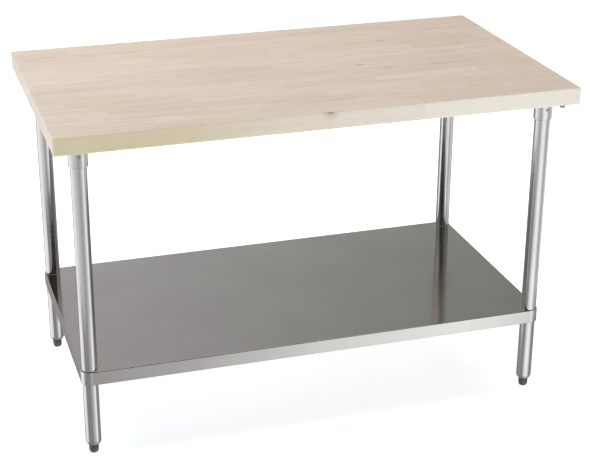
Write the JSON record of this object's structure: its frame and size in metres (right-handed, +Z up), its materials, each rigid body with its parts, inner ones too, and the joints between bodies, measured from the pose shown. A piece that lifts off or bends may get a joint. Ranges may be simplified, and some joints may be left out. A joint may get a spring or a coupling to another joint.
{
  "type": "butcher block work table",
  "caption": "Work table with a thick laminated maple top, round stainless steel legs on adjustable bullet feet, and a height-adjustable folded steel undershelf.",
  "frame": {"origin": "on the floor under the centre of the table", "axes": "+X along the length to the user's right, -Y to the front, +Z up"},
  "size_m": [1.372, 0.762, 0.902],
  "materials": {
    "maple": "edge-grain hard maple staves, oiled, satin",
    "leg_steel": "polished stainless steel tube",
    "shelf_steel": "fine satin stainless sheet, grain along the length",
    "fastener_steel": "dark zinc-plated steel",
    "foot_casting": "cast, tumbled, satin",
    "foot_nylon": "moulded grey-green nylon"
  },
  "bodies": {
    "frame": {"cross_rail_left": "shelf_steel", "cross_rail_right": "shelf_steel", "foot_insert_back_left": "foot_casting", "foot_insert_back_right": "foot_casting", "foot_insert_front_left": "foot_casting", "foot_insert_front_right": "foot_casting", "lag_bolt_left_back": "fastener_steel", "lag_bolt_left_front": "fastener_steel", "lag_bolt_left_middle": "fastener_steel", "lag_bolt_right_back": "fastener_steel", "lag_bolt_right_front": "fastener_steel", "lag_bolt_right_middle": "fastener_steel", "leg_back_left": "leg_steel", "leg_back_right": "leg_steel", "leg_front_left": "leg_steel", "leg_front_right": "leg_steel", "leg_socket_back_left": "leg_steel", "leg_socket_back_right": "leg_steel", "leg_socket_front_left": "leg_steel", "leg_socket_front_right": "leg_steel", "socket_screw_back_left": "fastener_steel", "socket_screw_back_right": "fastener_steel", "socket_screw_front_left": "fastener_steel", "socket_screw_front_right": "fastener_steel", "top_stave_01": "maple", "top_stave_02": "maple", "top_stave_03": "maple", "top_stave_04": "maple", "top_stave_05": "maple", "top_stave_06": "maple", "top_stave_07": "maple", "top_stave_08": "maple", "top_stave_09": "maple", "top_stave_10": "maple", "top_stave_11": "maple", "top_stave_12": "maple", "top_stave_13": "maple", "top_stave_14": "maple", "top_stave_15": "maple", "top_stave_16": "maple", "top_stave_17": "maple", "top_stave_18": "maple"},
    "shelf": {"collar_screw_back_left": "fastener_steel", "collar_screw_back_right": "fastener_steel", "collar_screw_front_left": "fastener_steel", "collar_screw_front_right": "fastener_steel", "shelf_collar_back_left": "leg_steel", "shelf_collar_back_right": "leg_steel", "shelf_collar_front_left": "leg_steel", "shelf_collar_front_right": "leg_steel", "shelf_stiffener": "shelf_steel", "undershelf": "shelf_steel"},
    "foot_front_left": {"foot_front_left": "foot_nylon", "foot_stem_front_left": "fastener_steel"},
    "foot_front_right": {"foot_front_right": "foot_nylon", "foot_stem_front_right": "fastener_steel"},
    "foot_back_left": {"foot_back_left": "foot_nylon", "foot_stem_back_left": "fastener_steel"},
    "foot_back_right": {"foot_back_right": "foot_nylon", "foot_stem_back_right": "fastener_steel"}
  },
  "joints": [
    {"name": "shelf_height", "type": "slide", "parent": "frame", "child": "shelf", "axis": [0, 0, 1], "range_m": [-0.14, 0.35]},
    {"name": "foot_screw_front_left", "type": "slide", "parent": "frame", "child": "foot_front_left", "axis": [0, 0, -1], "range_m": [-0.0015, 0.019]},
    {"name": "foot_screw_front_right", "type": "slide", "parent": "frame", "child": "foot_front_right", "axis": [0, 0, -1], "range_m": [-0.0015, 0.019]},
    {"name": "foot_screw_back_left", "type": "slide", "parent": "frame", "child": "foot_back_left", "axis": [0, 0, -1], "range_m": [-0.0015, 0.019]},
    {"name": "foot_screw_back_right", "type": "slide", "parent": "frame", "child": "foot_back_right", "axis": [0, 0, -1], "range_m": [-0.0015, 0.019]}
  ]
}
